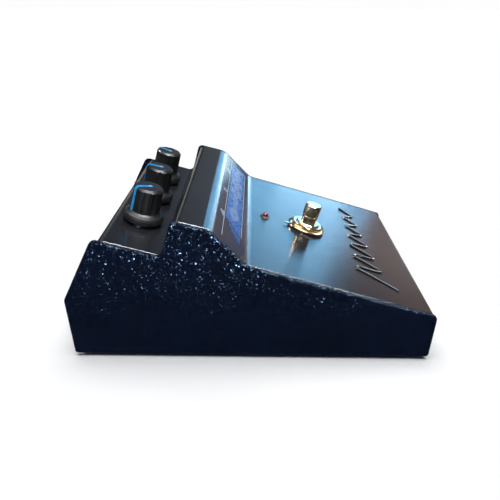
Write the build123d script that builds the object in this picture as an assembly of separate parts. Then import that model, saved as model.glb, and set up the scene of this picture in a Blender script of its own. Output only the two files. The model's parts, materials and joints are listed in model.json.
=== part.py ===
from build123d import *
from math import cos, radians, sin, tan
import os

# A guitar effects pedal in millimetres. Origin: centre of the underside, on the floor.
# +X is the player's right, +Y the rear (the knob side), +Z up.

# ---- casing -----------------------------------------------------------------------------
WIDTH = 118.0
MAT = 1.4  # rubber mat, which lifts the casing off the floor
SHEET = 1.5  # folded top cover
SIDE_SHEET = 1.8
BASE_SHEET = 1.5
FLANGE = 8.0  # inward lips that the base plate is screwed to
SEAM = 0.25  # between the cover's edges and the cheeks
CHEEK_EDGE_R = 0.9
CHEEK_FOOT_R = 1.4
FIT_GAP = 0.3

# The side profile from the rear bottom edge over the top to the front: each face's length,
# and its heading in the YZ plane in degrees from +Y towards +Z.
REAR_BOTTOM_Y = 76.3
FACES = {
    "rear_lower": (26.3, 87.2),
    "rear_upper": (31.1, 117.4),
    "deck": (28.3, 195.2),
    "step": (16.1, 105.2),
    "ridge": (15.2, 194.1),
    "slope": (21.4, 226.0),
    "treadle": (82.8, 196.0),
    "front": (20.2, 273.1),
}
# Outside radius of the bend at the end of each face but the last.
BENDS = {
    "rear_lower": 2.0,
    "rear_upper": 3.0,
    "deck": 2.6,
    "step": 2.4,
    "ridge": 8.0,
    "slope": 6.0,
    "treadle": 2.2,
}
# The cheeks follow the profile; the cover between them lies back from it on these faces.
SETBACK = {"rear_lower": 2.4, "rear_upper": 2.4, "step": 1.2, "front": 0.8}

# ---- controls ---------------------------------------------------------------------------
KNOB_PITCH = 29.0
KNOB_FROM_REAR = 15.0  # along the deck
KNOB_HEIGHT = 16.6
KNOB_SKIRT_R = 8.9
KNOB_BODY_R = 6.5
KNOB_TOP_R = 6.3
KNOB_FLUTES = 10
POINTER_WIDTH = 1.7
KNOBS = {"left": (-1, 38.0), "middle": (0, 8.0), "right": (1, -18.0)}  # place, turn at rest
SHAFT_R = 3.0
SHAFT_BORE_R = 3.05
POT_R = 8.2
SWITCH_FROM_BEND = 30.0  # along the treadle from the slope
SWITCH_NECK_R = 3.7
SWITCH_BORE_R = 3.75
SWITCH_THREAD_R = 6.0
SWITCH_CAP_R = 4.05
SWITCH_TOP = 13.2
SWITCH_THREAD_TOP = 3.9
SWITCH_NECK_SHOWS = 3.0  # between the thread and the cap; more than the cap's travel
LED_FROM_BEND = 8.5
LED_R = 1.5
LED_BARREL_TOP = 0.8
EMBLEM_FROM_BEND = 58.0

# ---- rear sockets -----------------------------------------------------------------------
SOCKET_UP = 12.2  # along the rear face from its bottom edge
JACK_X = 34.0
JACK_BORE_R = 3.25  # takes a 6.35 mm plug
POWER_PIN_R = 1.0
POWER_PIN_ROOT_R = 1.3

# ---- inside -----------------------------------------------------------------------------
MAIN_BOARD = (92.0, 40.0, 1.6)
MAIN_BOARD_Y = 18.0
STANDOFF = 8.0
CONTROL_BOARD = (84.0, 20.0, 1.6)
CONTROL_BOARD_DROP = 11.6  # from the deck's outside to the board's underside
BATTERY = (48.5, 26.5, 17.5)
BATTERY_AT = (22.0, -50.0)
WIRE_R = 0.5
HEADER = (60.0, 5.0, 5.5)
HEADER_INSET = {-1: 5.0, 1: 8.0}  # from the board's front and rear edges

BASE_TOP = MAT + BASE_SHEET
BOARD_UNDER = BASE_TOP + STANDOFF
BOARD_TOP = BOARD_UNDER + MAIN_BOARD[2]


# ---- the side profile -------------------------------------------------------------------
def face_starts():
    """Start point (y, z) of each face of the cover, and the end of the last."""
    y, z = REAR_BOTTOM_Y, MAT
    starts = []
    for length, heading in FACES.values():
        starts.append((y, z))
        y += length * cos(radians(heading))
        z += length * sin(radians(heading))
    return starts + [(y, z)]


def inset_corner(point, headings, depths):
    """A corner of the outline after its two faces have moved inward by their depths."""
    a, b = [(-sin(radians(h)), cos(radians(h))) for h in headings]
    level = a[0] * b[0] + a[1] * b[1]
    share_a = (depths[0] - depths[1] * level) / (1 - level**2)
    share_b = (depths[1] - depths[0] * level) / (1 - level**2)
    return tuple(p + share_a * i + share_b * j for p, i, j in zip(point, a, b))


def inset_end(point, heading, depth, floor):
    """An end of the outline moved inward by depth and slid along its face to a height."""
    y = point[0] - depth * sin(radians(heading))
    z = point[1] + depth * cos(radians(heading))
    return (y + (floor - z) / tan(radians(heading)), floor)


def outline(depth, floor=MAT, setback=SETBACK):
    """The side profile as a face in the YZ plane, inset by depth and closed at a height."""
    starts = face_starts()
    headings = [heading for _, heading in FACES.values()]
    depths = [depth + setback.get(name, 0) for name in FACES]
    points = [inset_end(starts[0], headings[0], depths[0], floor)]
    radii = []
    for i, bend in enumerate(BENDS.values()):
        points.append(inset_corner(starts[i + 1], headings[i:i + 2], depths[i:i + 2]))
        hollow = headings[i + 1] < headings[i]
        radii.append(max(bend + (depth if hollow else -depth), 0.3))
    points.append(inset_end(starts[-1], headings[-1], depths[-1], floor))
    path = FilletPolyline(*points, radius=radii)
    return Plane.YZ * make_face([*path.edges(), Line(points[-1], points[0])])


def across(face, width):
    """Extrude a YZ face to both sides of the centre plane."""
    return extrude(Pos(-width / 2, 0, 0) * face, width, dir=(1, 0, 0))


def face_plane(name, along, x=0.0):
    """A plane on the outside of a face: x across, y back along the face, z outward."""
    start = face_starts()[list(FACES).index(name)]
    heading = radians(FACES[name][1])
    y = start[0] + along * cos(heading)
    z = start[1] + along * sin(heading)
    return Plane(origin=(x, y, z), x_dir=(1, 0, 0), z_dir=(0, sin(heading), -cos(heading)))


def deck_plane(name="middle"):
    return face_plane("deck", KNOB_FROM_REAR, KNOBS[name][0] * KNOB_PITCH)


def knob_plane(name):
    return deck_plane(name) * Rot(0, 0, KNOBS[name][1])


def switch_plane():
    return face_plane("treadle", SWITCH_FROM_BEND)


def led_plane():
    return face_plane("treadle", LED_FROM_BEND)


def socket_plane(x):
    """On the rear face, with z out of the pedal; x counts across, y down the face."""
    return face_plane("rear_lower", SOCKET_UP, x).offset(-SETBACK["rear_lower"])


def rod(r, z0, z1, x=0.0, y=0.0):
    return Pos(x, y, z0) * Cylinder(r, z1 - z0, align=(Align.CENTER, Align.CENTER, Align.MIN))


def ring(outer, inner, z0, z1, x=0.0, y=0.0):
    return rod(outer, z0, z1, x, y) - rod(inner, z0 - 1, z1 + 1, x, y)


def block(width, depth, z0, z1, x=0.0, y=0.0):
    low = (Align.CENTER, Align.CENTER, Align.MIN)
    return Pos(x, y, z0) * Box(width, depth, z1 - z0, align=low)


def hex_nut(flats, bore_r, z0, z1):
    """A hexagon nut with its outer corners taken off on top."""
    prism = extrude(RegularPolygon(flats / 2, 6, major_radius=False), z1 - z0)
    crown = Cone(flats * 0.58 + (z1 - z0), flats * 0.52, z1 - z0,
                 align=(Align.CENTER, Align.CENTER, Align.MIN))
    return Pos(0, 0, z0) * (prism & crown) - rod(bore_r, z0 - 1, z1 + 1)


def threaded(r, bore_r, z0, z1, pitch=0.75):
    """A threaded nose: a tube with a row of fine V grooves, chamfered at its end."""
    points = [(bore_r, z0), (r, z0)]
    turns = int((z1 - z0 - 0.6) / pitch)
    for i in range(turns):
        z = z0 + 0.2 + i * pitch
        points += [(r, z), (r - 0.3, z + pitch / 2), (r, z + pitch - 0.05)]
    points += [(r, z1 - 0.4), (r - 0.4, z1), (bore_r, z1)]
    section = make_face(Polyline(*points, close=True))
    return revolve(Plane.XZ * section, Axis.Z)


def group(pieces):
    """Separate solids that share one node."""
    return Compound(children=list(pieces))


# ---- casing pieces ----------------------------------------------------------------------
BASE_SCREWS = [(x, y) for x in (-52.0, 52.0) for y in (-66.0, 0.0, 66.0)]
SCREW_R = 1.5


def cover_ends():
    """Y of the cover's rear and front faces at the bottom."""
    return REAR_BOTTOM_Y - SETBACK["rear_lower"], face_starts()[-1][0] + SETBACK["front"]


def lip(y_outer, inward):
    """A lip at the bottom of the cover's front or rear face, for the base plate."""
    return block(WIDTH - 2 * (SIDE_SHEET + FLANGE + 3), FLANGE, BASE_TOP, BASE_TOP + SHEET,
                 y=y_outer + inward * (FLANGE / 2 + SHEET - 0.1))


def top_cover():
    width = WIDTH - 2 * (SIDE_SHEET + SEAM)
    shell = across(outline(0), width) - across(outline(SHEET), width + 2)
    rims = shell.edges().filter_by(lambda e: abs(abs(e.center().X) - width / 2) < 1e-4)
    rear, front = cover_ends()
    cover = chamfer(rims, 0.25) + lip(rear, -1) + lip(front, 1)
    for name in KNOBS:
        cover -= deck_plane(name) * rod(3.6, -5, 2)
    cover -= switch_plane() * rod(SWITCH_THREAD_R + 0.15, -5, 2)
    cover -= led_plane() * rod(2.1, -5, 2)
    for x in (-JACK_X, JACK_X):
        cover -= socket_plane(x) * rod(4.7, -9, 2)
    return cover - socket_plane(0) * rod(6.1, -9, 2)


def side_panel(side):
    """A cheek with rounded edges, and a folded flange all round under the cover."""
    inner = WIDTH / 2 - SIDE_SHEET
    plate = extrude(Pos(inner, 0, 0) * outline(0, setback={}), SIDE_SHEET, dir=(1, 0, 0))
    feet = plate.edges().filter_by(Axis.X).group_by(Axis.Z)[0]
    plate = fillet(feet, CHEEK_FOOT_R)
    plate = fillet(plate.faces().sort_by(Axis.X)[-1].edges(), CHEEK_EDGE_R)
    ring_face = outline(SHEET, BASE_TOP) - outline(SHEET + SIDE_SHEET, BASE_TOP + SIDE_SHEET)
    flange = extrude(Pos(inner - FLANGE, 0, 0) * ring_face, FLANGE, dir=(1, 0, 0))
    panel = plate + flange
    for x, y in BASE_SCREWS:
        panel -= rod(SCREW_R, 0, 12, x, y)
    return panel if side > 0 else mirror(panel, Plane.YZ)


def base_limits():
    """Half width, and the rear and front edges of the base plate."""
    half = WIDTH / 2 - SIDE_SHEET - FIT_GAP
    rear, front = cover_ends()
    return half, rear - SHEET - FIT_GAP, front + SHEET + FIT_GAP


def base_plate():
    half, rear, front = base_limits()
    plate = block(2 * half, rear - front, MAT, BASE_TOP, y=(rear + front) / 2)
    plate = fillet(plate.edges().filter_by(Axis.Z), 3.0)
    for x, y in BASE_SCREWS:
        plate -= rod(SCREW_R + 0.2, 0, 12, x, y)
    for x, y in standoff_places():
        plate -= rod(SCREW_R, 0, 12, x, y)
    return plate


def base_screw(x, y):
    """A pan-head screw from below, with a cross recess in its head."""
    head = rod(2.8, MAT - 1.1, MAT, x, y)
    head = fillet(head.faces().sort_by(Axis.Z)[0].edges(), 0.6)
    cross = block(2.6, 0.6, MAT - 1.2, MAT - 0.5, x, y)
    cross += block(0.6, 2.6, MAT - 1.2, MAT - 0.5, x, y)
    return head + rod(SCREW_R, MAT, MAT + 4.6, x, y) - cross


def rubber_mat():
    half, rear, front = base_limits()
    edge = 10.0
    mat = block(2 * (half - edge), rear - front - 2 * edge, 0, MAT, y=(rear + front) / 2)
    mat = fillet(mat.edges().filter_by(Axis.Z), 5.0)
    return mat - block(2 * half, 0.8, -1, 0.35, y=45) - block(2 * half, 0.8, -1, 0.35, y=-45)


# ---- knobs and potentiometers -----------------------------------------------------------
def shaft():
    """A D-flat shaft with the wiper disc at its foot."""
    turned = rod(SHAFT_R, -6.6, 12.6) + rod(6.4, -6.4, -5.4)
    return turned - block(8, 3, 4.0, 14, y=-(1.5 + 1.5))


def knob_blank():
    """The knob's turned shape: skirt, waist, slightly tapered body and bevelled top."""
    r, top = KNOB_BODY_R, KNOB_HEIGHT
    section = Polyline(
        (0, 3.7), (6.9, 3.7), (6.9, 1.0), (8.2, 1.0), (KNOB_SKIRT_R, 1.8), (KNOB_SKIRT_R, 3.2),
        (8.4, 4.2), (r + 0.7, 4.9), (r, 5.5), (KNOB_TOP_R, top - 1.0), (KNOB_TOP_R - 0.8, top),
        (0, top), close=True)
    return revolve(Plane.XZ * make_face(section), Axis.Z)


def knob():
    scallop_r, depth = 3.6, 0.45
    body = knob_blank()
    for i in range(KNOB_FLUTES):
        turn = (i + 0.5) * 360 / KNOB_FLUTES + 90
        cutter = rod(scallop_r, 5.7, KNOB_HEIGHT - 0.9, KNOB_BODY_R - depth + scallop_r)
        body -= Rot(0, 0, turn) * cutter
    return body - shaft() - pointer()


def pointer():
    """The coloured line: from just past the centre over the rim and down the side."""
    top = KNOB_HEIGHT + 0.1
    r = KNOB_TOP_R
    line = Polyline(
        (-1.6, top), (r - 0.75, top), (r + 0.08, top - 1.1), (KNOB_BODY_R + 0.12, 5.3),
        (KNOB_BODY_R - 0.9, 5.3), (r - 0.9, top - 1.4), (r - 1.2, top - 1.0), (-1.6, top - 1.0),
        close=True)
    return extrude(Plane.YZ * make_face(line), POINTER_WIDTH / 2, both=True)


def pot_housing():
    """A round can with its wiper chamber, front plate and short threaded nose."""
    can = rod(POT_R, -8.6, -SHEET) - rod(6.8, -7.4, -2.7) - rod(SHAFT_BORE_R, -9, 2)
    bottom = rod(SHAFT_BORE_R + 0.5, -8.6, -7.4)
    return can + threaded(3.5, SHAFT_BORE_R, -SHEET, 2.9) + bottom


def pot_terminals(name):
    """Three legs from the can down through the control board."""
    legs = []
    for x in (-5.0, 0.0, 5.0):
        legs.append(block(0.9, 0.6, -CONTROL_BOARD_DROP - 1.2, -8.6, x, -6.2))
    return [deck_plane(name) * leg for leg in legs]


def control_board():
    width, depth, thick = CONTROL_BOARD
    low = -CONTROL_BOARD_DROP
    board = deck_plane() * block(width, depth, low, low + thick)
    for name in KNOBS:
        for leg in pot_terminals(name):
            board -= leg
    return board


# ---- stomp switch -----------------------------------------------------------------------
SWITCH_BODY = 17.2
SWITCH_TOP_PLATE = -9.0
SWITCH_FLOOR = -22.0
PLUNGER_FLANGE = (4.6, -10.6, -9.2)  # radius, bottom, top


def switch_bushing():
    """The threaded nose on the switch's metal top plate."""
    plate = block(SWITCH_BODY, SWITCH_BODY, SWITCH_TOP_PLATE, SWITCH_TOP_PLATE + 1.0)
    nose = threaded(SWITCH_THREAD_R, SWITCH_BORE_R, SWITCH_TOP_PLATE + 1.0, SWITCH_THREAD_TOP)
    return plate - rod(SWITCH_BORE_R, -12, 0) + nose


def switch_housing():
    """The moulded contact box, open towards the plunger."""
    low, high = SWITCH_FLOOR - 1.2, SWITCH_TOP_PLATE
    box = fillet(block(SWITCH_BODY, SWITCH_BODY, low, high).edges().filter_by(Axis.Z), 1.0)
    return box - rod(5.2, SWITCH_FLOOR, high + 1)


def switch_plunger():
    """Cap, neck and the flange that keeps it in. It travels 2.6 mm down."""
    r, top, under = SWITCH_CAP_R, SWITCH_TOP, SWITCH_THREAD_TOP + SWITCH_NECK_SHOWS
    flange_r, low, high = PLUNGER_FLANGE
    section = Polyline(
        (0, low), (flange_r, low), (flange_r, high), (SWITCH_NECK_R, high),
        (SWITCH_NECK_R, under), (r - 0.3, under), (r, under + 0.4), (r, top - 0.5),
        (r - 0.5, top), (0, top), close=True)
    return revolve(Plane.XZ * make_face(section), Axis.Z)


def switch_spring():
    """The return spring, from the contact box's floor to the plunger's flange."""
    wire, coil, turns = 0.35, 2.9, 5
    height = PLUNGER_FLANGE[1] - SWITCH_FLOOR - 2 * wire
    path = Pos(0, 0, SWITCH_FLOOR + wire) * Helix(height / turns, height, coil)
    section = Plane(origin=path @ 0, z_dir=path % 0) * Circle(wire)
    return sweep(section, path=path, is_frenet=True)


def switch_lugs():
    """Nine solder lugs in three rows under the contact box."""
    low = SWITCH_FLOOR - 1.2
    return [block(2.2, 0.5, low - 3.8, low, x, y) for x in (-5.0, 0, 5.0) for y in (-5.0, 0, 5.0)]


def switch_washer():
    """A dished dress washer with a raised rim and a locating tab."""
    inner = SWITCH_THREAD_R + 0.1
    section = Polyline(
        (inner, 0), (8.8, 0), (9.4, 0.7), (9.4, 1.5), (9.0, 1.7), (8.3, 0.8), (inner, 0.8),
        close=True)
    washer = revolve(Plane.XZ * make_face(section), Axis.Z)
    tab = extrude(Polygon((-0.9, 8.9), (0.9, 8.9), (0.2, 12.2), (-0.2, 12.2), align=None), 0.5)
    return washer + Pos(0, 0, 0.9) * Rot(0, 0, 12) * tab


# ---- LED --------------------------------------------------------------------------------
def led_lens():
    """A 3 mm LED: collar, barrel and dome."""
    barrel = rod(LED_R, -3.6, LED_BARREL_TOP) + Pos(0, 0, LED_BARREL_TOP) * Sphere(LED_R)
    return barrel + rod(1.95, -4.6, -3.6)


def led_bezel():
    """A black snap-in collar round the LED."""
    collar = ring(2.05, LED_R, -3.6, 0) + ring(2.5, LED_R, 0, 0.6)
    return chamfer(collar.edges().group_by(Axis.Z)[-1].sort_by(SortBy.RADIUS)[-1], 0.4)


# ---- emblem -----------------------------------------------------------------------------
def emblem():
    """A raised leaning ripple that dies away to the right, as a plain ornament."""
    half_waves, pitch, lean, stroke = 14, 6.4, 0.38, 1.15
    points = []
    for i in range(half_waves):
        reach = 3.2 + 7.4 * (1 - i / half_waves) ** 1.6
        side = 1 if i % 2 else -1
        x = (i - (half_waves - 1) / 2) * pitch
        points.append((x + side * lean * reach, side * reach))
    path = FilletPolyline(*points, radius=1.4)
    ribbon = make_face(offset(path, stroke / 2).edges())
    raised = extrude(ribbon, 0.85)
    return fillet(raised.faces().sort_by(Axis.Z)[-1].edges(), 0.4)


# ---- rear sockets -----------------------------------------------------------------------
JACK_BODY = (15.0, 15.6, 22.0)
JACK_BACK = -SHEET - JACK_BODY[2]


def jack_body():
    """A closed plastic jack with a channel for the plug."""
    width, height, _ = JACK_BODY
    box = block(width, height, JACK_BACK, -SHEET)
    box = chamfer(box.edges().filter_by(Axis.Z), 1.0)
    channel = rod(JACK_BORE_R + 0.3, JACK_BACK + 2, 0)
    tip_room = block(3.0, 5.6, JACK_BACK - 1, -7.0, y=4.6)
    sleeve_room = block(3.0, 4.0, JACK_BACK - 1, -7.0, y=-5.2)
    return box - channel - tip_room - sleeve_room


def jack_ferrule():
    """The threaded nose that the plug goes through."""
    return threaded(4.5, JACK_BORE_R, -SHEET, 6.2)


def jack_contacts():
    """The tip and sleeve springs, each ending in a solder lug behind the body."""
    end = JACK_BACK - 3.0
    tip = block(2.2, 0.4, end, -9.0, y=6.4)
    tip += Pos(0, 5.3, -9.6) * Rot(-28, 0, 0) * Box(2.2, 0.4, 3.2)
    sleeve = block(2.2, 0.4, end, -9.0, y=-5.6)
    return [tip, sleeve]


def power_body():
    """The round power inlet with its flange outside and a barrel through the sheet."""
    barrel = threaded(6.0, 2.85, -13.0, 0) + ring(7.4, 2.85, 0, 1.6) + rod(6.0, -14.5, -13.0)
    return barrel - rod(POWER_PIN_ROOT_R, -15, -12)


def power_pin():
    """The centre contact on its thicker root, which ends in a lug behind the inlet."""
    root = rod(POWER_PIN_ROOT_R, -16.5, -12.6)
    tip = rod(POWER_PIN_R, -12.6, -1.6)
    return root + chamfer(tip.faces().sort_by(Axis.Z)[-1].edges(), 0.3)


# ---- main board -------------------------------------------------------------------------
def standoff_places():
    x = MAIN_BOARD[0] / 2 - 3.5
    y = MAIN_BOARD[1] / 2 - 3.5
    return [(sx * x, MAIN_BOARD_Y + sy * y) for sx in (-1, 1) for sy in (-1, 1)]


def main_board():
    width, depth, _ = MAIN_BOARD
    board = block(width, depth, BOARD_UNDER, BOARD_TOP, y=MAIN_BOARD_Y)
    board = fillet(board.edges().filter_by(Axis.Z), 1.5)
    for x, y in standoff_places():
        board -= rod(SCREW_R, BOARD_UNDER - 1, BOARD_TOP + 1, x, y)
    return board


def standoff(x, y):
    post = Pos(x, y, BASE_TOP) * extrude(RegularPolygon(2.5, 6, major_radius=False), STANDOFF)
    return post - rod(SCREW_R, BASE_TOP + 3, BOARD_TOP, x, y)


def board_screw(x, y):
    head = rod(2.6, BOARD_TOP, BOARD_TOP + 1.8, x, y)
    head = fillet(head.faces().sort_by(Axis.Z)[-1].edges(), 0.7)
    slot = block(6, 0.6, BOARD_TOP + 1.0, BOARD_TOP + 2, x, y)
    return head + rod(SCREW_R, BOARD_TOP - 5, BOARD_TOP, x, y) - slot


def chip(x, y):
    """An eight-leg chip with its end notch."""
    body = block(9.4, 6.4, BOARD_TOP + 0.6, BOARD_TOP + 4.0, x, y)
    body -= rod(0.9, BOARD_TOP + 3.5, BOARD_TOP + 5, x - 4.7, y)
    for i in range(4):
        for side in (-1, 1):
            leg_x = x + (i - 1.5) * 2.54
            body += block(0.5, 0.4, BOARD_TOP, BOARD_TOP + 2.4, leg_x, y + side * 3.4)
    return body


def can_capacitor(x, y):
    can = rod(3.15, BOARD_TOP, BOARD_TOP + 11.0, x, y)
    can = fillet(can.faces().sort_by(Axis.Z)[-1].edges(), 0.5)
    return can - ring(3.4, 2.95, BOARD_TOP + 1.4, BOARD_TOP + 1.9, x, y)


def film_capacitor(x, y):
    body = block(7.2, 3.0, BOARD_TOP, BOARD_TOP + 7.0, x, y)
    return fillet(body.edges().filter_by(Axis.Z), 0.5)


def resistor(x, y):
    """A barrel with swollen ends on a bent wire bridge."""
    rise, reach = 1.6, 4.6
    half = Polyline((0, 3.0), (0.9, 3.0), (1.2, 2.6), (1.2, 2.0), (1.0, 1.6), (1.0, 0), (0, 0),
                    close=True)
    end = revolve(Plane.XZ * make_face(half), Axis.Z)
    barrel = Rot(0, 90, 0) * end + Rot(0, -90, 0) * end
    path = FilletPolyline((-reach, 0, -rise), (-reach, 0, 0), (reach, 0, 0), (reach, 0, -rise),
                          radius=0.8)
    bridge = sweep(Plane(origin=(-reach, 0, -rise)) * Circle(0.3), path=path)
    return Pos(x, y, BOARD_TOP + rise) * (barrel + bridge)


def header_y(end):
    """Centre of the front (-1) or rear (1) wire header."""
    return MAIN_BOARD_Y + end * (MAIN_BOARD[1] / 2 - HEADER_INSET[end])


def wire_header(end):
    width, depth, height = HEADER
    body = block(width, depth, BOARD_TOP, BOARD_TOP + height, y=header_y(end))
    return chamfer(body.edges().filter_by(Axis.X).group_by(Axis.Z)[-1], 0.6)


# ---- battery ----------------------------------------------------------------------------
BATTERY_FLOOR = BASE_TOP + 0.8
TERMINAL_SPACING = 12.7


def battery_end():
    """X of the battery's terminal end, and the height of its middle."""
    return BATTERY_AT[0] - BATTERY[0] / 2, BATTERY_FLOOR + BATTERY[2] / 2


def on_battery_end(piece, y_shift=0.0):
    """Place a piece that was built along +Z so that it points out of the terminal end."""
    x, z = battery_end()
    return Pos(x, BATTERY_AT[1] + y_shift, z) * Rot(0, -90, 0) * piece


def battery():
    low = BATTERY_FLOOR
    body = block(*BATTERY[:2], low, low + BATTERY[2], *BATTERY_AT)
    body = fillet(body.edges().filter_by(Axis.X), 2.0)
    for side in (-1, 1):
        body += on_battery_end(rod(2.8 if side > 0 else 3.3, 0, 2.6), side * TERMINAL_SPACING / 2)
    return body


def battery_snap():
    """The snap connector: a flat pad with two sockets."""
    pad = block(12.0, 25.0, 3.0, 5.2)
    pad = fillet(pad.edges().filter_by(Axis.Z), 2.0)
    snap = on_battery_end(pad)
    for side in (-1, 1):
        bore = 2.85 if side > 0 else 3.35
        snap += on_battery_end(ring(bore + 0.8, bore, 0.4, 3.0), side * TERMINAL_SPACING / 2)
    return snap


def battery_clip():
    """A sheet-metal cradle that holds the battery by its long sides."""
    x, y = BATTERY_AT
    wall = 0.8
    reach = BATTERY[1] / 2 + FIT_GAP + wall / 2
    clip = block(14, 2 * reach + wall, BASE_TOP, BATTERY_FLOOR, x, y)
    for side in (-1, 1):
        clip += block(14, wall, BASE_TOP, BASE_TOP + 11.0, x, y + side * reach)
    return clip


def battery_pads():
    """Foam pads on the base, to the left and right of the cradle."""
    x, y = BATTERY_AT
    return [block(14, 24, BASE_TOP, BATTERY_FLOOR, x + side * 16.5, y) for side in (-1, 1)]


# ---- wiring -----------------------------------------------------------------------------
def wire(points, share=0.45):
    """A wire through points, its bends as large as the straight runs allow."""
    points = [Vector(*p) for p in points]
    radii = []
    for a, b, c in zip(points, points[1:], points[2:]):
        turn = (b - a).get_angle(c - b)
        radii.append(share * min((b - a).length, (c - b).length) / tan(radians(turn / 2)))
    path = FilletPolyline(*points, radius=radii) if radii else Line(*points)
    start = Plane(origin=points[0], z_dir=points[1] - points[0])
    print("wire radii", [round(r, 1) for r in radii])
    return sweep(start * Circle(WIRE_R), path=path)


HEADER_ENTRY = BOARD_TOP + 3.0


def header_entry(x, end):
    """Where a wire meets the outer face of the front (-1) or rear (1) header."""
    return Vector(x, header_y(end) + end * HEADER[1] / 2, HEADER_ENTRY)


def battery_leads():
    """Red and black leads from the snap, round the stomp switch to the front header."""
    x, z = battery_end()
    leads = []
    for rise, turn_x, header_x in ((2.0, -18.0, -20.0), (-2.0, -21.5, -24.0)):
        start = Vector(x - 5.2, BATTERY_AT[1], z + rise)
        end = header_entry(header_x, -1)
        leads.append(wire([
            start,
            start - Vector(4, 0, 0),
            (turn_x, BATTERY_AT[1] + 3, z + rise + 0.5),
            (header_x, BATTERY_AT[1] + 16, z + rise + 1),
            (header_x - 1, end.Y - 18, HEADER_ENTRY - 1),
            (header_x, end.Y - 6, HEADER_ENTRY),
            end,
        ]))
    return leads


def switch_wires():
    """Three wires from the rear row of lugs to the front header."""
    wires = []
    lug_face = 5.25
    for x in (-5.0, 0.0, 5.0):
        start = switch_plane().from_local_coords(Vector(x, lug_face, -25.0))
        leave = switch_plane().from_local_coords(Vector(x, lug_face + 4.0, -25.0))
        end = header_entry(x * 1.2, -1)
        wires.append(wire([start, leave, end - Vector(0, 4.5, 0), end]))
    return wires


def led_wires():
    """Sleeved legs of the LED down to the front header."""
    wires = []
    for x in (-0.95, 0.95):
        start = led_plane().from_local_coords(Vector(x, 0, -4.6))
        leave = led_plane().from_local_coords(Vector(x, 0, -9.0))
        end = header_entry(x + 12.0, -1)
        before = end - Vector(0, 7, 0)
        wires.append(wire([start, leave, before + Vector(-3, 0, 8), before, end]))
    return wires


def rear_wires():
    """Two wires from each jack and one from the power inlet to the rear header."""
    wires = []
    for x in (-JACK_X, JACK_X):
        for y, header_x in ((6.4, 26.0), (-5.6, 22.0)):
            start = socket_plane(x).from_local_coords(Vector(0, y, JACK_BACK - 3.0))
            leave = socket_plane(x).from_local_coords(Vector(0, y, JACK_BACK - 8.0))
            end = header_entry(header_x if x > 0 else -header_x, 1)
            wires.append(wire([start, leave, end + Vector(0, 7, 0), end]))
    start = socket_plane(0).from_local_coords(Vector(0, 0, -16.5))
    leave = socket_plane(0).from_local_coords(Vector(0, 0, -24.0))
    end = header_entry(0, 1)
    wires.append(wire([start, leave, end + Vector(0, 7, 0), end]))
    return wires


def control_wires():
    """Wires from the control board's underside down to the main board."""
    wires = []
    for x in (-12.0, -8.0, -4.0, 4.0, 8.0, 12.0):
        start = deck_plane().from_local_coords(Vector(x, -8.5, -CONTROL_BOARD_DROP))
        leave = deck_plane().from_local_coords(Vector(x, -8.5, -CONTROL_BOARD_DROP - 5.6))
        foot = Vector(x, header_y(1) - 5.0, BOARD_TOP)
        wires.append(wire([start, leave, foot + Vector(0, 0, 9.0), foot]))
    return wires


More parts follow.
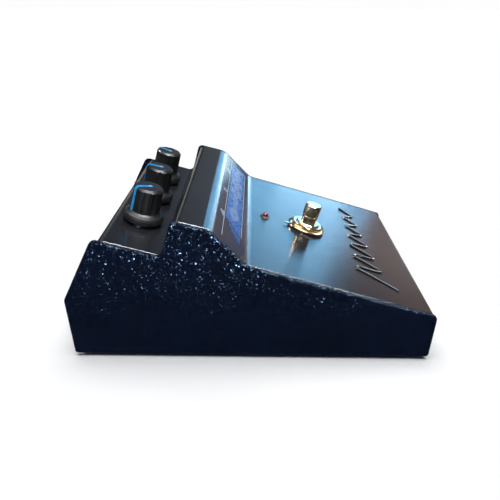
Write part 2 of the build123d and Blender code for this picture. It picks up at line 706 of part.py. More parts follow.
# ---- the nodes --------------------------------------------------------------------------
def nodes():
    """Every piece of the pedal by node name, in its place."""
    pieces = {
        "top_cover": top_cover(),
        "left_side_panel": side_panel(-1),
        "right_side_panel": side_panel(1),
        "base_plate": base_plate(),
        "base_screws": group(base_screw(x, y) for x, y in BASE_SCREWS),
        "rubber_mat": rubber_mat(),
        "emblem": face_plane("treadle", EMBLEM_FROM_BEND, 1.5) * emblem(),
        "control_board": control_board(),
        "main_board": main_board(),
        "board_standoffs": group(standoff(x, y) for x, y in standoff_places()),
        "board_screws": group(board_screw(x, y) for x, y in standoff_places()),
        "wire_headers": group(wire_header(end) for end in (-1, 1)),
        "chips": group(chip(x, 15) for x in (-16, 16)),
        "can_capacitors": group(can_capacitor(x, 22) for x in (-36, -27, 27, 36)),
        "film_capacitors": group(film_capacitor(x, 9) for x in (-30, -20, -10, 0, 10, 20, 30)),
        "resistors": group(resistor(x, y) for x in (-34, 0, 34) for y in (13.5, 16.5)),
        "battery": battery(),
        "battery_snap": battery_snap(),
        "battery_clip": battery_clip(),
        "battery_pads": group(battery_pads()),
        "battery_leads": group(battery_leads()),
        "switch_wires": group(switch_wires()),
        "led_wires": group(led_wires()),
        "rear_wires": group(rear_wires()),
        "control_wires": group(control_wires()),
        "led_lens": led_plane() * led_lens(),
        "led_bezel": led_plane() * led_bezel(),
        "switch_bushing": switch_plane() * switch_bushing(),
        "switch_housing": switch_plane() * switch_housing(),
        "switch_plunger": switch_plane() * switch_plunger(),
        "switch_spring": switch_plane() * switch_spring(),
        "switch_washer": switch_plane() * switch_washer(),
        "switch_nut": switch_plane() * hex_nut(14.0, SWITCH_THREAD_R, 0.8, 3.0),
        "switch_lock_nut": switch_plane() * hex_nut(14.0, SWITCH_THREAD_R, -SHEET - 2.0, -SHEET),
        "switch_lugs": group(switch_plane() * lug for lug in switch_lugs()),
        "power_body": socket_plane(0) * power_body(),
        "power_pin": socket_plane(0) * power_pin(),
        "power_nut": socket_plane(0) * hex_nut(14.0, 6.0, -SHEET - 2.4, -SHEET),
        "pot_washers": group(deck_plane(n) * ring(5.8, 3.5, 0, 0.5) for n in KNOBS),
        "pot_nuts": group(deck_plane(n) * hex_nut(10.0, 3.5, 0.5, 2.5) for n in KNOBS),
        "pot_terminals": group(leg for n in KNOBS for leg in pot_terminals(n)),
    }
    for name in KNOBS:
        pieces[f"knob_{name}"] = knob_plane(name) * knob()
        pieces[f"pointer_{name}"] = knob_plane(name) * pointer()
        pieces[f"pot_shaft_{name}"] = knob_plane(name) * shaft()
        pieces[f"pot_housing_{name}"] = deck_plane(name) * pot_housing()
    jacks = {"output": -JACK_X, "input": JACK_X}
    for name, x in jacks.items():
        pieces[f"{name}_jack_body"] = socket_plane(x) * jack_body()
        pieces[f"{name}_jack_ferrule"] = socket_plane(x) * jack_ferrule()
    washers = [socket_plane(x) * ring(6.6, 4.5, 0, 0.6) for x in jacks.values()]
    nuts = [socket_plane(x) * hex_nut(11.0, 4.5, 0.6, 3.0) for x in jacks.values()]
    springs = [socket_plane(x) * spring for x in jacks.values() for spring in jack_contacts()]
    pieces["jack_washers"] = group(washers)
    pieces["jack_nuts"] = group(nuts)
    pieces["jack_contacts"] = group(springs)
    return pieces


os.makedirs("parts", exist_ok=True)
for node, piece in nodes().items():
    export_step(piece, f"parts/{node}.step")
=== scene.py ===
import json
from math import cos, pi, radians, sin

import bmesh
import bpy
from mathutils import Matrix, Vector

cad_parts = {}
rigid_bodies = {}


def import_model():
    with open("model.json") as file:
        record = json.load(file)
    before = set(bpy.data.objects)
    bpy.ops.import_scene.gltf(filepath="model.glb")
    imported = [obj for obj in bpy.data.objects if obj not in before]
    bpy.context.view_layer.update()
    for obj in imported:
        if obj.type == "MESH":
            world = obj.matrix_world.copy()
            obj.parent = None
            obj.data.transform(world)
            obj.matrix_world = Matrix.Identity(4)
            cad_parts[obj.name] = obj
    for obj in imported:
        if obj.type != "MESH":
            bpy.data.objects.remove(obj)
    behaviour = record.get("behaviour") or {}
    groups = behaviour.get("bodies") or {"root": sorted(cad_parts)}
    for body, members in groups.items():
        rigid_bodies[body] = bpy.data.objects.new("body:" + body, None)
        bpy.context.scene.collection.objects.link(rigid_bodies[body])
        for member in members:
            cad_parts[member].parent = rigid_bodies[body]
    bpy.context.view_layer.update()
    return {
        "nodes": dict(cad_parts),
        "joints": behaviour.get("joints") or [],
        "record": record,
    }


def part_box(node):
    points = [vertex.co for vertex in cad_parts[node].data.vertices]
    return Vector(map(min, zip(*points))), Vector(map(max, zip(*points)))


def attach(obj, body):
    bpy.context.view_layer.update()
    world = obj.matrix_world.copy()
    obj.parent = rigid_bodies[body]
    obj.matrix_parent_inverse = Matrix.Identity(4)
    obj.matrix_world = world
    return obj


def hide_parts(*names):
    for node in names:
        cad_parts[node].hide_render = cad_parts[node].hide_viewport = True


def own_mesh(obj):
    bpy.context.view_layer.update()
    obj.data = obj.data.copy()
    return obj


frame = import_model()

# The looks of a guitar effects pedal round its CAD frame. Metres, +X the player's right,
# +Y the rear, +Z up, standing on the floor at z = 0.

MM = 0.001
nodes = frame["nodes"]
joints = {joint["name"]: joint for joint in frame["joints"]}
scene = bpy.context.scene


# ---- node trees -------------------------------------------------------------------------
class Finish:
    """A procedural material, built node by node. Its places are object coordinates, in metres."""

    def __init__(self, name, **sockets):
        self.mat = bpy.data.materials.new(name)
        self.mat.use_nodes = True
        self.tree = self.mat.node_tree
        self.shader = self.tree.nodes["Principled BSDF"]
        self.where = self.add("TexCoord").outputs["Object"]
        for socket, value in sockets.items():
            self.shader.inputs[socket.replace("_", " ")].default_value = value

    def add(self, kind, inputs=None, **settings):
        node = self.tree.nodes.new("ShaderNode" + kind)
        for name, value in settings.items():
            setattr(node, name, value)
        for name, value in (inputs or {}).items():
            if isinstance(value, bpy.types.NodeSocket):
                self.tree.links.new(value, node.inputs[name])
            else:
                node.inputs[name].default_value = value
        return node

    def link(self, socket, output):
        self.tree.links.new(output, self.shader.inputs[socket])

    def noise(self, size, detail=3.0):
        """Soft noise whose features are about size metres across."""
        inputs = {"Vector": self.where, "Scale": 1 / size, "Detail": detail, "Roughness": 0.55}
        return self.add("TexNoise", inputs).outputs["Fac"]

    def cells(self, size, smooth=None):
        """Distance from the middle of the nearest cell, for pebbles, dots and holes."""
        inputs = {"Vector": self.where, "Scale": 1 / size}
        if smooth:
            inputs["Smoothness"] = smooth
        feature = "SMOOTH_F1" if smooth else "F1"
        return self.add("TexVoronoi", inputs, feature=feature).outputs["Distance"]

    def ramp(self, factor, stops, constant=False):
        """A colour ramp with (place, colour) stops; a plain number is a grey."""
        ramp = self.add("ValToRGB", {"Fac": factor})
        band = ramp.color_ramp
        band.interpolation = "CONSTANT" if constant else "LINEAR"
        while len(band.elements) < len(stops):
            band.elements.new(0.5)
        for element, (place, colour) in zip(band.elements, stops):
            element.position = place
            grey = isinstance(colour, (int, float))
            element.color = (colour, colour, colour, 1) if grey else (*colour, 1)
        return ramp.outputs["Color"]

    def math(self, operation, a, b=0.0):
        return self.add("Math", {0: a, 1: b}, operation=operation).outputs[0]

    def axis(self, letter):
        """One coordinate of the place."""
        return self.add("SeparateXYZ", {"Vector": self.where}).outputs[letter]

    def bump(self, height, distance, strength=1.0, under=None):
        """The normal of a relief distance metres deep, on top of the relief under it."""
        inputs = {"Height": height, "Distance": distance, "Strength": strength}
        if under:
            inputs["Normal"] = under
        return self.add("Bump", inputs).outputs["Normal"]

    def facets(self, size, slope):
        """Height of small flats, each size metres across and tilted its own way."""
        cell = self.add("TexVoronoi", {"Vector": self.where, "Scale": 1 / size})
        away = self.add("VectorMath", {0: self.where, 1: cell.outputs["Position"]},
                        operation="SUBTRACT").outputs[0]
        turn = self.add("VectorMath", {0: cell.outputs["Color"], 1: (0.5, 0.5, 0.5)},
                        operation="SUBTRACT").outputs[0]
        lean = self.add("VectorMath", {0: away, 1: turn}, operation="DOT_PRODUCT")
        return self.math("MULTIPLY", lean.outputs["Value"], 2 * slope)

    def colour(self, factor, stops, constant=False):
        self.link("Base Color", self.ramp(factor, stops, constant))
        return self

    def rough(self, factor, low, high):
        """Roughness that drifts from low to high with the factor."""
        self.link("Roughness", self.ramp(factor, [(0.25, low), (0.75, high)]))
        return self

    def relief(self, normal):
        self.link("Normal", normal)
        return self


# ---- finishes ---------------------------------------------------------------------------
def cover_paint():
    """Satin black enamel with a blue cast: a very fine skin, mirrored streaks down the cover."""
    paint = Finish("cover_paint", IOR=1.62, Coat_Weight=0.12, Coat_Roughness=0.11,
                   Anisotropic=0.8)
    across = paint.add("CombineXYZ", {"X": 1.0, "Y": 0.0, "Z": 0.0})
    paint.link("Tangent", across.outputs["Vector"])
    paint.colour(paint.noise(0.03), [(0.3, (0.006, 0.007, 0.011)), (0.7, (0.011, 0.012, 0.018))])
    paint.rough(paint.noise(0.012, 4.0), 0.18, 0.24)
    skin = paint.noise(0.0011, 3.0)
    return paint.relief(paint.bump(skin, 0.00004, 0.5))


def emblem_enamel():
    """Glossy black enamel on the raised emblem."""
    paint = Finish("emblem_enamel", IOR=1.6, Coat_Weight=0.6, Coat_Roughness=0.16)
    paint.colour(paint.noise(0.01), [(0.3, (0.006, 0.007, 0.010)), (0.7, (0.011, 0.012, 0.016))])
    paint.rough(paint.noise(0.003, 4.0), 0.20, 0.28)
    return paint.relief(paint.bump(paint.noise(0.0009), 0.00002, 0.4))


def side_paint():
    """Navy-black powder coat: a pebbled grain, and small tilted flats that sparkle."""
    paint = Finish("side_paint", IOR=1.5, Specular_Tint=(0.5, 0.7, 1.0, 1.0))
    paint.colour(paint.noise(0.02), [(0.3, (0.0003, 0.002, 0.013)), (0.7, (0.0006, 0.004, 0.023))])
    paint.rough(paint.noise(0.004), 0.18, 0.25)
    pebbles = paint.bump(paint.cells(0.0011, smooth=0.5), 0.0001)
    return paint.relief(paint.bump(paint.facets(0.0005, 0.6), 1.0, 1.0, pebbles))


def base_steel():
    """Plain black paint on the base plate, a little scuffed."""
    paint = Finish("base_steel", IOR=1.5)
    paint.colour(paint.noise(0.008, 6.0), [(0.35, 0.012), (0.62, 0.022), (0.75, 0.05)])
    paint.rough(paint.noise(0.01), 0.38, 0.5)
    return paint.relief(paint.bump(paint.noise(0.0008), 0.00005, 0.4))


def rubber():
    """Matt black rubber with a fine tooth and a trace of dust."""
    paint = Finish("rubber")
    paint.colour(paint.noise(0.02, 6.0), [(0.3, 0.014), (0.7, 0.03)])
    paint.rough(paint.noise(0.006), 0.72, 0.88)
    return paint.relief(paint.bump(paint.noise(0.0006, 4.0), 0.00008, 0.6))


def knob_plastic():
    """Satin black moulding with a slightly uneven sheen."""
    paint = Finish("knob_plastic", IOR=1.5)
    paint.colour(paint.noise(0.006), [(0.3, 0.012), (0.7, 0.022)])
    paint.rough(paint.noise(0.003, 5.0), 0.36, 0.46)
    return paint.relief(paint.bump(paint.noise(0.0005), 0.00002, 0.4))


def pointer_blue():
    """Bright blue filled line, glossy, in slightly uneven tones."""
    paint = Finish("pointer_blue", Coat_Weight=0.4, Coat_Roughness=0.15)
    tones = [(0.3, (0.015, 0.32, 0.80)), (0.7, (0.035, 0.46, 0.95))]
    paint.colour(paint.noise(0.002), tones)
    paint.rough(paint.noise(0.001), 0.25, 0.35)
    return paint.relief(paint.bump(paint.noise(0.0007), 0.00002, 0.3))


def print_blue():
    """Screen-printed blue ink with a faint mesh of denser dots."""
    paint = Finish("print_blue", IOR=1.5)
    ink = paint.cells(0.0007)
    paint.colour(ink, [(0.1, (0.018, 0.170, 0.56)), (0.8, (0.010, 0.110, 0.42))])
    paint.rough(paint.noise(0.002), 0.24, 0.32)
    return paint.relief(paint.bump(paint.noise(0.0006), 0.00002, 0.4))


def print_pale():
    """Screen-printed pale ink for lines and marks."""
    paint = Finish("print_pale", IOR=1.5)
    paint.colour(paint.noise(0.001), [(0.3, (0.46, 0.56, 0.70)), (0.7, (0.62, 0.70, 0.80))])
    paint.rough(paint.noise(0.002), 0.30, 0.42)
    return paint.relief(paint.bump(paint.noise(0.0006), 0.00002, 0.4))


def metal(name, light, dark, low, high):
    """Plated or bare metal: drifting tone, fine marks, uneven polish."""
    paint = Finish(name, Metallic=1.0)
    paint.colour(paint.noise(0.004, 4.0), [(0.3, dark), (0.7, light)])
    marks = paint.noise(0.0006, 4.0)
    paint.rough(marks, low, high)
    return paint.relief(paint.bump(marks, 0.00001, 0.35))


def moulded(name, dark, light):
    """Moulded plastic with a fine spark-eroded skin."""
    paint = Finish(name, IOR=1.5)
    paint.colour(paint.noise(0.005), [(0.3, dark), (0.7, light)])
    paint.rough(paint.noise(0.002), 0.40, 0.55)
    return paint.relief(paint.bump(paint.noise(0.0004), 0.00002, 0.5))


def led_red():
    """Dark red lens under a clear gloss, in cloudy tones, painted lighter upwards as a painted
    highlight on its top.
    """
    paint = Finish("led_red", IOR=1.5, Coat_Weight=1.0, Coat_Roughness=0.04)
    # Painted highlight: the colour grows lighter with height, so the top of the lens reads as lit
    # from above.
    rise = paint.math("MULTIPLY", paint.axis("Z"), 2.0)
    core = paint.math("ADD", paint.noise(0.0012), rise)
    paint.colour(core, [(0.3, (0.14, 0.001, 0.003)), (0.75, (0.32, 0.004, 0.008))])
    return paint.rough(paint.noise(0.001), 0.08, 0.14)


def board_green():
    """Green solder mask with brighter tracks and round tinned lands."""
    paint = Finish("board_green", IOR=1.5, Coat_Weight=0.4, Coat_Roughness=0.1)
    tracks = paint.add("TexBrick", {"Vector": paint.where, "Scale": 60.0, "Mortar Size": 0.03,
                                    "Color1": (0.010, 0.090, 0.035, 1),
                                    "Color2": (0.012, 0.110, 0.045, 1),
                                    "Mortar": (0.020, 0.200, 0.080, 1)})
    lands = paint.ramp(paint.cells(0.0025), [(0.0, 1.0), (0.16, 1.0), (0.2, 0.0)])
    mixed = paint.add("MixRGB", {"Fac": lands, "Color1": tracks.outputs["Color"],
                                 "Color2": (0.62, 0.60, 0.55, 1)})
    paint.link("Base Color", mixed.outputs["Color"])
    paint.rough(paint.noise(0.004), 0.25, 0.35)
    return paint.relief(paint.bump(tracks.outputs["Fac"], 0.00004, 0.6))


def can_sleeve():
    """Dark blue capacitor sleeve with a pale stripe down one side."""
    paint = Finish("can_sleeve", Coat_Weight=0.5, Coat_Roughness=0.15)
    stripes_per_metre = 110.0
    along = paint.math("FRACT", paint.math("MULTIPLY", paint.axis("X"), stripes_per_metre))
    paint.colour(along, [(0.0, (0.008, 0.014, 0.060)), (0.55, (0.45, 0.48, 0.52)),
                         (0.70, (0.008, 0.014, 0.060))], constant=True)
    return paint.rough(paint.noise(0.002), 0.2, 0.32)


def film_red():
    """Dipped red capacitor lacquer with soft orange peel."""
    paint = Finish("film_red", Coat_Weight=0.8, Coat_Roughness=0.08)
    paint.colour(paint.noise(0.003), [(0.3, (0.26, 0.012, 0.008)), (0.7, (0.40, 0.03, 0.015))])
    paint.rough(paint.noise(0.002), 0.25, 0.35)
    return paint.relief(paint.bump(paint.noise(0.0012), 0.00005, 0.5))


def resistor_tan():
    """Tan lacquer with coloured bands along the barrel, and tinned leads beyond it."""
    paint = Finish("resistor_tan", Coat_Weight=0.5, Coat_Roughness=0.12)
    pitch = 0.034
    turns = paint.math("DIVIDE", paint.axis("X"), pitch)
    place = paint.math("FRACT", paint.math("ADD", turns, 0.5))
    tan, tin = (0.42, 0.26, 0.11), (0.55, 0.54, 0.52)
    bands = [(0.0, tin), (0.408, tan), (0.440, (0.30, 0.02, 0.01)), (0.462, tan),
             (0.490, (0.22, 0.05, 0.30)), (0.512, tan), (0.545, (0.35, 0.16, 0.02)),
             (0.567, tan), (0.592, tin)]
    paint.colour(place, bands, constant=True)
    return paint.rough(paint.noise(0.001), 0.25, 0.38)


def battery_wrap():
    """A steel can in a dark wrap with a copper-coloured end band."""
    paint = Finish("battery_wrap", Metallic=0.6)
    low, high = (v.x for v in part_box("battery"))
    along = paint.add("MapRange", {"Value": paint.axis("X"), "From Min": low, "From Max": high})
    paint.colour(along.outputs["Result"], [(0.0, (0.6, 0.6, 0.58)), (0.07, (0.40, 0.17, 0.06)),
                                           (0.36, (0.02, 0.02, 0.024)),
                                           (0.97, (0.6, 0.6, 0.58))], constant=True)
    paint.rough(paint.noise(0.004), 0.26, 0.4)
    return paint.relief(paint.bump(paint.noise(0.002), 0.00004, 0.3))


def foam():
    """Open-celled grey foam, its cell hollows painted darker as painted shade."""
    paint = Finish("foam", Sheen_Weight=0.3)
    holes = paint.cells(0.0009)
    # Painted shade: the colour darkens towards the middle of each cell, where the bump sinks a
    # hollow.
    paint.colour(holes, [(0.1, 0.012), (0.6, 0.07)])
    paint.rough(paint.noise(0.002), 0.85, 0.95)
    return paint.relief(paint.bump(holes, 0.0003, 0.8))


def wire_skin():
    """Plastic wire insulation, its colour changing from one wire to the next across X."""
    paint = Finish("wire", IOR=1.5)
    runs_per_metre = 95.0
    place = paint.math("FRACT", paint.math("MULTIPLY", paint.axis("X"), runs_per_metre))
    paint.colour(place, [(0.0, (0.012, 0.012, 0.014)), (0.35, (0.42, 0.012, 0.010)),
                         (0.62, (0.55, 0.50, 0.42)), (0.82, (0.02, 0.10, 0.36))], constant=True)
    paint.rough(paint.noise(0.002), 0.32, 0.45)
    return paint.relief(paint.bump(paint.noise(0.0008), 0.00003, 0.4))


def finishes():
    """One finish for each of the record's material slots, and two inks."""
    made = {
        "cover_paint": cover_paint(),
        "side_paint": side_paint(),
        "base_steel": base_steel(),
        "rubber": rubber(),
        "knob_plastic": knob_plastic(),
        "pointer_blue": pointer_blue(),
        "nickel": metal("nickel", (0.82, 0.70, 0.50), (0.62, 0.49, 0.32), 0.09, 0.20),
        "zinc": metal("zinc", (0.62, 0.62, 0.60), (0.48, 0.48, 0.47), 0.26, 0.42),
        "brass": metal("brass", (0.80, 0.60, 0.30), (0.62, 0.43, 0.20), 0.2, 0.34),
        "black_plastic": moulded("black_plastic", (0.010,) * 3, (0.022,) * 3),
        "blue_plastic": moulded("blue_plastic", (0.01, 0.05, 0.26), (0.02, 0.08, 0.34)),
        "header_white": moulded("header_white", (0.62, 0.60, 0.52), (0.76, 0.74, 0.66)),
        "led_red": led_red(),
        "board_green": board_green(),
        "can_sleeve": can_sleeve(),
        "film_red": film_red(),
        "resistor_tan": resistor_tan(),
        "battery_wrap": battery_wrap(),
        "foam": foam(),
        "wire": wire_skin(),
        "emblem_metal": emblem_enamel(),
        "print_blue": print_blue(),
        "print_pale": print_pale(),
    }
    return {slot: paint.mat for slot, paint in made.items()}


def dress(objects, looks):
    """Gives every CAD node the finish of its slot."""
    for part in frame["record"]["subparts"]:
        mesh = objects[part["node"]].data
        mesh.materials.clear()
        mesh.materials.append(looks[part["material_slot"]])


# ---- places on the cover ----------------------------------------------------------------
SLOPE_TILT = 46.0  # degrees
FLAT_TOLERANCE = 0.3  # degrees between a flat's normal and that of its faces


class Flat:
    """A flat stretch of the cover, found by its forward tilt; x across, s down it."""

    def __init__(self, tilt):
        self.up = Vector((0, -sin(radians(tilt)), cos(radians(tilt))))
        self.down = Vector((0, -cos(radians(tilt)), -sin(radians(tilt))))
        mesh = nodes["top_cover"].data
        level = cos(radians(FLAT_TOLERANCE))
        faces = [face for face in mesh.polygons if face.normal.dot(self.up) > level]
        height = max(faces, key=lambda face: face.area).center.dot(self.up)
        faces = [face for face in faces if abs(face.center.dot(self.up) - height) < 0.02 * MM]
        points = [mesh.vertices[i].co for face in faces for i in face.vertices]
        reach = [point.dot(self.down) for point in points]
        self.length = max(reach) - min(reach)
        top = points[reach.index(min(reach))]
        self.start = Vector((0, top.y, top.z))

    def at(self, x, s, lift=0.0):
        return self.start + Vector((x, 0, 0)) + self.down * s + self.up * lift


def plate(name, flat, outlines, thick, finish):
    """Thin raised shapes on a flat of the casing: each outline is a list of (x, s) corners."""
    shape = bmesh.new()
    sink = 0.01 * MM
    for outline in outlines:
        low = [shape.verts.new(flat.at(x, s, -sink)) for x, s in outline]
        high = [shape.verts.new(flat.at(x, s, thick)) for x, s in outline]
        count = len(outline)
        shape.faces.new(high)
        shape.faces.new(list(reversed(low)))
        for i in range(count):
            j = (i + 1) % count
            shape.faces.new((low[i], low[j], high[j], high[i]))
    bmesh.ops.recalc_face_normals(shape, faces=shape.faces)
    mesh = bpy.data.meshes.new(name)
    shape.to_mesh(mesh)
    shape.free()
    mesh.materials.append(finish)
    piece = bpy.data.objects.new(name, mesh)
    scene.collection.objects.link(piece)
    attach(piece, "casing")


def rectangle(x0, x1, s0, s1):
    """Corners of an upright rectangle on a flat."""
    return [(x0, s0), (x1, s0), (x1, s1), (x0, s1)]


# ---- print on the slope -----------------------------------------------------------------
INK = 0.03 * MM
TITLE_RIGHT, TITLE_LEFT = 50 * MM, -30 * MM
TITLE_TOP, TITLE_BOTTOM = 0.30, 0.83  # shares of the slope's length, from its top
LINE_WIDTH = 0.25 * MM
TAIL_BARS = 3
PATTERN_BARS = 36
PATTERN_STEP = 2.1 * MM
MARK_HEIGHT = 2.4 * MM


def title_print(slope, looks):
    """A blue band with a slanted tail, a level pattern in it, and a fine line on each side."""
    right, left = TITLE_RIGHT, TITLE_LEFT
    top, bottom = TITLE_TOP * slope.length, TITLE_BOTTOM * slope.length
    tall = bottom - top
    slant = 0.9 * tall
    band = [[(left, top), (right, top), (right, bottom), (left - slant, bottom)]]
    for i in range(TAIL_BARS):
        near = left - (1.6 + 2.4 * i) * MM
        wide = (1.5 - 0.35 * i) * MM
        cut = 0.25 + 0.2 * i
        start, shift = top + tall * cut, slant * cut
        band.append([(near - shift, start), (near - wide - shift, start),
                     (near - wide - slant, bottom), (near - slant, bottom)])
    plate("title_band", slope, band, INK, looks["print_blue"])
    above, below = top - 1.0 * MM, bottom + 0.5 * MM
    lines = [rectangle(-51 * MM, right, above, above + LINE_WIDTH),
             rectangle(-38 * MM, right, below, below + LINE_WIDTH)]
    plate("title_lines", slope, lines, INK, looks["print_pale"])
    middle, bars = (top + bottom) / 2, []
    for i in range(PATTERN_BARS):
        x = left + 4 * MM + i * PATTERN_STEP
        swell = abs(sin(i * 0.47)) * abs(cos(i * 0.13 + 0.4))
        reach = (0.12 + 0.30 * swell) * tall
        bars.append([(x, middle - reach), (x + 0.55 * MM, middle - reach),
                     (x + 0.15 * MM, middle + reach), (x - 0.4 * MM, middle + reach)])
    plate("title_pattern", slope, bars, 2 * INK, looks["print_pale"])


def control_marks(slope, looks):
    """A small plain symbol above each knob's column: bars, a ring and a wedge."""
    top = 0.10 * slope.length
    tall = MARK_HEIGHT
    bars = [rectangle(x * MM, (x + 0.7) * MM, top + tall * (1 - rise), top + tall)
            for x, rise in ((-31.6, 0.4), (-30.3, 0.6), (-29.0, 0.8), (-27.7, 1.0))]
    ring, sides = [], 24
    outer, inner = tall / 2, tall / 2 - 0.45 * MM
    middle = top + tall / 2
    for i in range(sides):
        a, b = 2 * pi * i / sides, 2 * pi * (i + 1) / sides
        ring.append([(outer * cos(a), middle + outer * sin(a)),
                     (outer * cos(b), middle + outer * sin(b)),
                     (inner * cos(b), middle + inner * sin(b)),
                     (inner * cos(a), middle + inner * sin(a))])
    wedge = [[(27 * MM, top + tall), (33 * MM, top + tall), (33 * MM, top)]]
    plate("control_marks", slope, bars + ring + wedge, INK, looks["print_pale"])


# ---- pointer dots -----------------------------------------------------------------------
DOT_RADIUS = 0.62 * MM
DOT_FLATNESS = 0.22  # height over radius
DOT_INSET = 0.35 * MM  # from the knob's axis, away from the line


def pointer_dot(side, looks):
    """A small pale bead at the inner end of a knob's line."""
    hinge = joints[f"knob_{side}_turn"]
    centre, axis = Vector(hinge["pos_m"]), Vector(hinge["axis"]).normalized()
    points = [v.co - centre for v in nodes[f"pointer_{side}"].data.vertices]
    height = max(p.dot(axis) for p in points)
    outward = sum((p - axis * p.dot(axis) for p in points), Vector()).normalized()
    turn = Matrix((outward, axis.cross(outward), axis)).transposed().to_4x4()
    bead = bmesh.new()
    bmesh.ops.create_uvsphere(bead, u_segments=20, v_segments=12, radius=DOT_RADIUS)
    for vert in bead.verts:
        vert.co.z *= DOT_FLATNESS
    bead.transform(Matrix.Translation(centre + axis * height - outward * DOT_INSET) @ turn)
    mesh = bpy.data.meshes.new(f"pointer_dot_{side}")
    bead.to_mesh(mesh)
    bead.free()
    mesh.materials.append(looks["print_pale"])
    mesh.shade_smooth()
    piece = bpy.data.objects.new(f"pointer_dot_{side}", mesh)
    scene.collection.objects.link(piece)
    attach(piece, f"knob_{side}")


# ---- return spring ----------------------------------------------------------------------
def return_spring(looks):
    """The stomp switch's spring as a piece of its own on the body that holds the button, in place
    of its CAD node.
    """
    press = joints["switch_press"]
    mesh = nodes["switch_spring"].data.copy()
    mesh.name = "return_spring"
    mesh.materials.clear()
    mesh.materials.append(looks["zinc"])
    piece = bpy.data.objects.new("return_spring", mesh)
    scene.collection.objects.link(piece)
    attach(piece, press["parent"])
    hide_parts("switch_spring")
    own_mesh(piece)


# ---- studio -----------------------------------------------------------------------------
FLOOR_HALF = 8.0
BACKDROP_RADIUS = 7.8
PANEL_DISTANCE = 2.0

# Soft boxes: heading and height of the middle, width and height in degrees, radiance, colour.
PANELS = {
    "window": (-15.3, 16.3, 16.6, 18.5, 3.8, (0.23, 0.61, 1.0)),
    "window_core": (-14, 6.5, 9, 4, 14.0, (0.6, 0.85, 1.0)),
    "window_side": (-6, 19, 10, 16, 0.2, (0.8, 0.9, 1.0)),
    "low_window": (-21, 0.5, 14, 7, 0.45, (0.18, 0.42, 1.0)),
    "warm_wall": (-31, 11.5, 20, 12, 0.74, (1.0, 0.70, 0.58)),
    "rear_wall": (19, 11, 14, 20, 0.7, (1.0, 0.95, 0.78)),
}

# Spots that make the left side sparkle: where each aims, its watts and its cone in degrees.
GLINT_FROM = Vector((-0.50, 0.20, 0.15))
GLINT_TINT = (0.66, 0.82, 1.0)
GLINTS = {
    "ridge": ((-0.06, 0.020, 0.064), 15.0, 9),
    "deck": ((-0.06, 0.060, 0.047), 5.0, 5),
    "edge": ((-0.06, -0.030, 0.049), 4.0, 6),
}

# Spots that put dots on the emblem, from in front of it (-1) and behind it (1), and how far
# forward of its middle each aims.
EMBLEM = Vector((0, -0.050, 0.032))
EMBLEM_GLINTS = {"front": (-1, 0.0), "rear": (1, 0.016)}
EMBLEM_GLINT_DISTANCE = 0.5

WHITE = (1, 1, 1)
GLOSS_ONLY = {"visible_camera": False, "visible_diffuse": False}


def floor():
    """A plain pale floor, which reaches through the backdrop."""
    bpy.ops.mesh.primitive_plane_add(size=2 * FLOOR_HALF, location=(0, 0, 0))
    plane = bpy.context.object
    plane.name = "floor"
    paper = Finish("floor_paper", Specular_IOR_Level=0.0)
    paper.colour(paper.noise(0.2), [(0.3, 0.90), (0.7, 0.92)])
    paper.rough(paper.noise(0.1), 0.9, 1.0)
    plane.data.materials.append(paper.mat)
    plane.visible_glossy = False


def backdrop():
    """A pale wall far round the floor, there for the camera alone."""
    bpy.ops.mesh.primitive_uv_sphere_add(segments=64, ring_count=32, radius=BACKDROP_RADIUS)
    wall = bpy.context.object
    wall.name = "backdrop"
    paper = Finish("backdrop_paper", Emission_Strength=1.0, Specular_IOR_Level=0.0)
    paper.link("Emission Color", paper.ramp(paper.noise(4.0), [(0.3, 0.98), (0.7, 1.0)]))
    paper.colour(paper.noise(4.0), [(0.3, 0.0), (0.7, 0.01)])
    wall.data.materials.append(paper.mat)
    for ray in ("diffuse", "glossy", "transmission", "volume_scatter", "shadow"):
        setattr(wall, "visible_" + ray, False)


def lamp(name, kind, place, aim, power, colour, **settings):
    """A light that points at aim; visible_ settings belong to its object, the rest to it."""
    light = bpy.data.lights.new(name, kind)
    light.energy = power
    light.color = colour
    body = bpy.data.objects.new(name, light)
    body.location = place
    body.rotation_euler = (Vector(aim) - Vector(place)).to_track_quat("-Z", "Y").to_euler()
    for key, value in settings.items():
        setattr(body if key.startswith("visible_") else light, key, value)
    scene.collection.objects.link(body)


def bearing(heading, height, distance):
    """A place far from the pedal, by its compass heading from +X and its height angle."""
    h, e = radians(heading), radians(height)
    return Vector((cos(h) * cos(e), sin(h) * cos(e), sin(e))) * distance


def panel(name, heading, height, wide, tall, radiance, colour):
    """A soft box far off that the paint mirrors: its sizes are angles in degrees."""
    size_x = 2 * PANEL_DISTANCE * sin(radians(wide / 2))
    size_y = 2 * PANEL_DISTANCE * sin(radians(tall / 2))
    lamp(name, "AREA", bearing(heading, height, PANEL_DISTANCE), (0, 0, 0.04),
         radiance * pi * size_x * size_y, colour, shape="RECTANGLE", size=size_x,
         size_y=size_y, **GLOSS_ONLY)


def spot(name, place, aim, power, colour, cone, soft):
    """A narrow spot with a soft edge, seen in gloss alone."""
    lamp(name, "SPOT", place, aim, power, colour, spot_size=radians(cone), spot_blend=1.0,
         shadow_soft_size=soft, **GLOSS_ONLY)


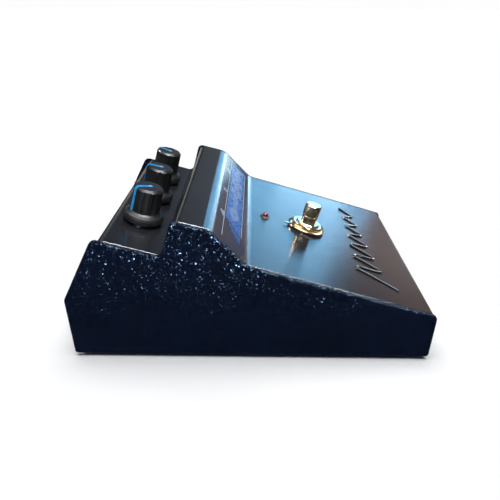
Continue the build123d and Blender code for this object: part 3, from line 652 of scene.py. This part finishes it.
def lights():
    """Overhead soft light, and lights that show in gloss alone: a room, sparkles, an edge."""
    lamp("overhead", "SUN", (0, 0, 2), (0, 0, 0), 3.35, WHITE, angle=radians(60))
    for name, settings in PANELS.items():
        panel(name, *settings)
    for name, (aim, watts, cone) in GLINTS.items():
        spot("glint_" + name, GLINT_FROM, aim, watts, GLINT_TINT, cone, soft=0.012)
    for name, (side, ahead) in EMBLEM_GLINTS.items():
        towards = Vector((0.394, 0.748 * side, 0.53)) * EMBLEM_GLINT_DISTANCE
        aim = EMBLEM - Vector((0, ahead, 0))
        spot("emblem_glint_" + name, EMBLEM + towards, aim, 60.0, WHITE, 9.5, soft=0.025)
    lamp("edge_strip", "AREA", (-0.23, -0.18, 0.50), (-0.05, -0.18, 0.03), 7.0, (0.9, 0.96, 1.0),
         shape="RECTANGLE", size=0.5, size_y=0.03, **GLOSS_ONLY)
    world = bpy.data.worlds.new("studio")
    scene.world = world
    world.use_nodes = True
    back = world.node_tree.nodes["Background"]
    back.inputs["Color"].default_value = (0.58, 0.72, 1.0, 1)
    back.inputs["Strength"].default_value = 0.07


def camera():
    """Low three-quarter view from the pedal's left, looking along +X and down."""
    aim = Vector((0, 1.3 * MM, 23.4 * MM))
    distance, azimuth, elevation, roll = 0.2700, 270.42, 25.76, 0.37
    a, e = radians(azimuth), radians(elevation)
    back = Vector((sin(a) * cos(e), -cos(a) * cos(e), sin(e)))
    data = bpy.data.cameras.new("camera")
    data.sensor_width = 36.0
    data.lens = 37.72
    data.clip_start, data.clip_end = 0.01, 1000.0
    body = bpy.data.objects.new("camera", data)
    body.rotation_mode = "QUATERNION"
    body.location = aim + back * distance
    turn = (-back).to_track_quat("-Z", "Y").to_matrix()
    body.rotation_quaternion = (turn @ Matrix.Rotation(radians(roll), 3, "Z")).to_quaternion()
    scene.collection.objects.link(body)
    scene.camera = body


looks = finishes()
dress(nodes, looks)
slope = Flat(SLOPE_TILT)
title_print(slope, looks)
control_marks(slope, looks)
for side in ("left", "middle", "right"):
    pointer_dot(side, looks)
return_spring(looks)
floor()
backdrop()
lights()
camera()
scene.view_settings.view_transform = "Standard"
scene.view_settings.look = "None"
